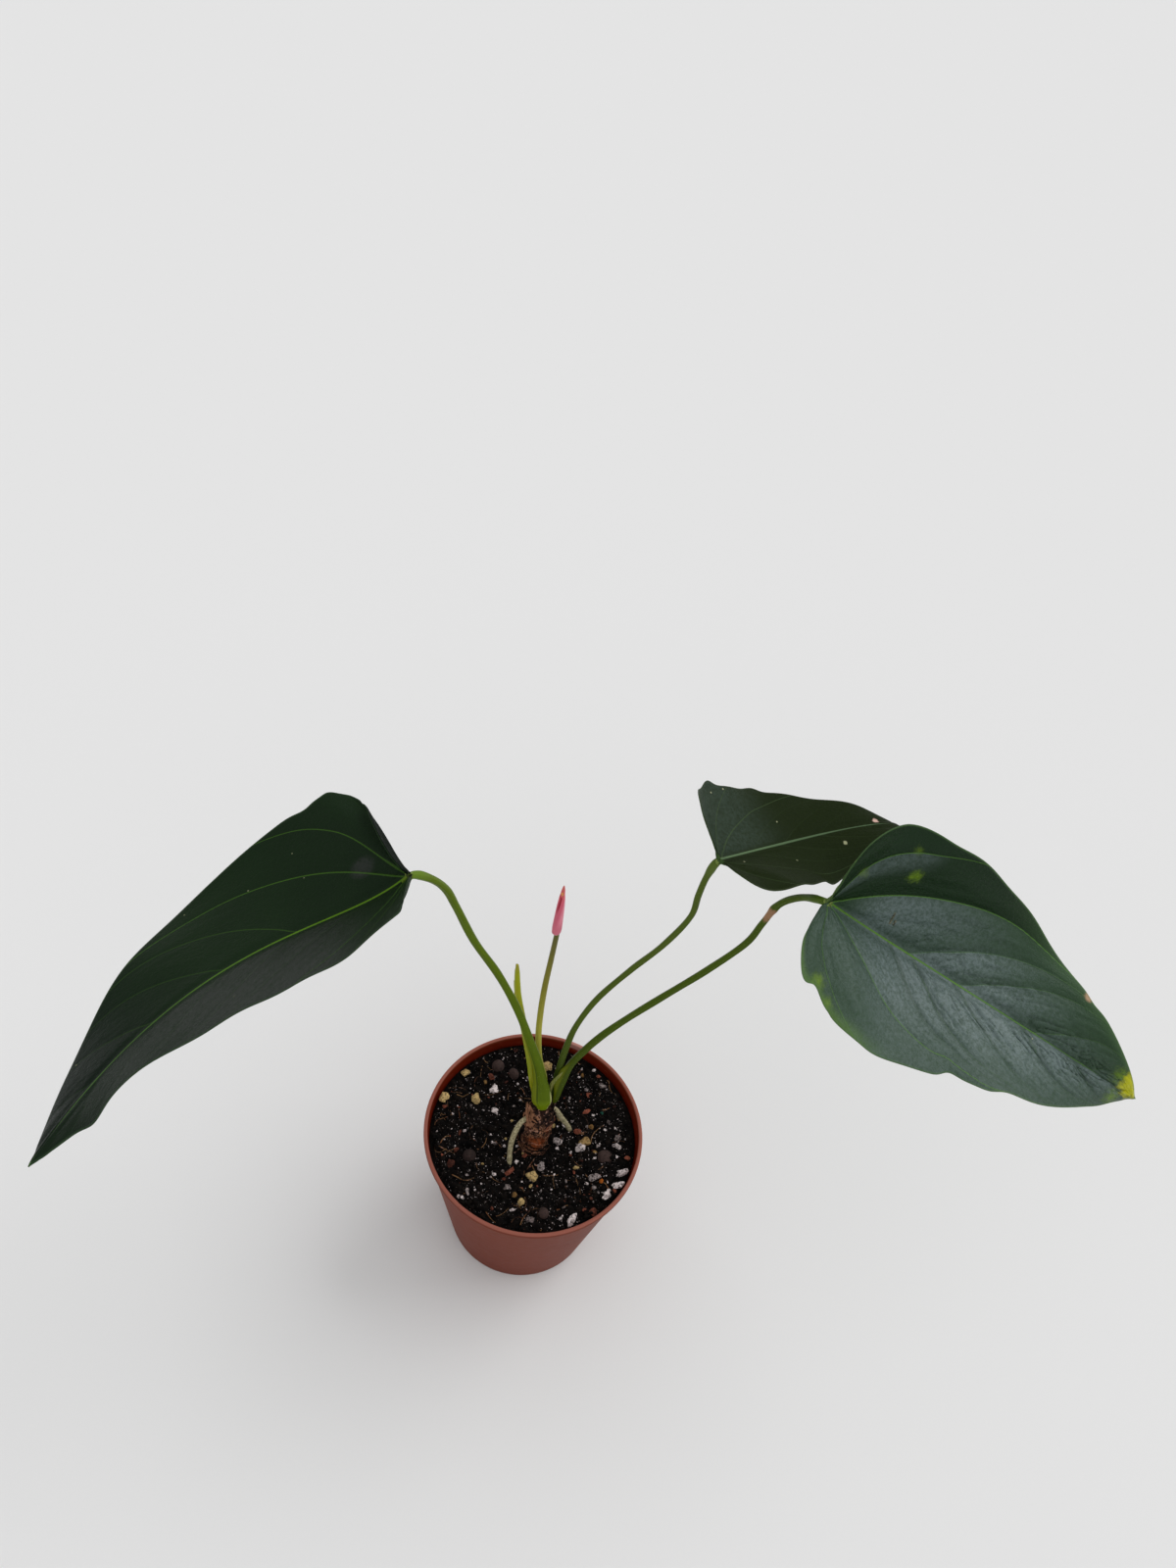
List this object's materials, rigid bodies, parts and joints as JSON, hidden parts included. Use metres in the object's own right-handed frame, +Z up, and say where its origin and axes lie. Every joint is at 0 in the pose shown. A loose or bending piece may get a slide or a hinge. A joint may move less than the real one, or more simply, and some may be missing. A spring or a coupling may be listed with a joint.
{
  "type": "potted flamingo flower",
  "caption": "Young anthurium house plant with long-stalked heart-shaped leaves, a rolled pink flower bud and a bare rhizome, in a plain round nursery pot.",
  "frame": {"origin": "centre of the pot's flat underside", "axes": "+Z up, +X along the spread of the leaves towards the large right-hand leaf, +Y away from the side that the plant is seen from"},
  "size_m": [0.4267, 0.2139, 0.2836],
  "materials": {
    "pot_plastic": "terracotta-brown moulded plastic, slightly satin",
    "potting_mix": null,
    "rhizome_bark": "brown fibrous bark with papery scales",
    "root_skin": "grey-beige velvety root skin",
    "petiole": "smooth waxy green stalk; leather stands in for living tissue",
    "leaf_blade": "leathery dark green, waxy sheen; leather stands in for living tissue",
    "new_shoot": "smooth yellow-green",
    "dry_bract": "thin, dry and papery",
    "flower_stalk": "smooth olive-brown",
    "spathe": "smooth waxy pink",
    "spadix": "finely beaded cream-orange"
  },
  "bodies": {
    "root": {"pot": "pot_plastic", "potting_mix": "potting_mix", "rhizome": "rhizome_bark", "aerial_root_left": "root_skin", "aerial_root_right": "root_skin", "petiole_left": "petiole", "petiole_front_right": "petiole", "petiole_back_right": "petiole", "blade_left": "leaf_blade", "blade_front_right": "leaf_blade", "blade_back_right": "leaf_blade", "new_shoot": "new_shoot", "cataphyll": "dry_bract", "flower_stalk": "flower_stalk", "spathe_bud": "spathe", "spadix": "spadix"}
  },
  "joints": []
}
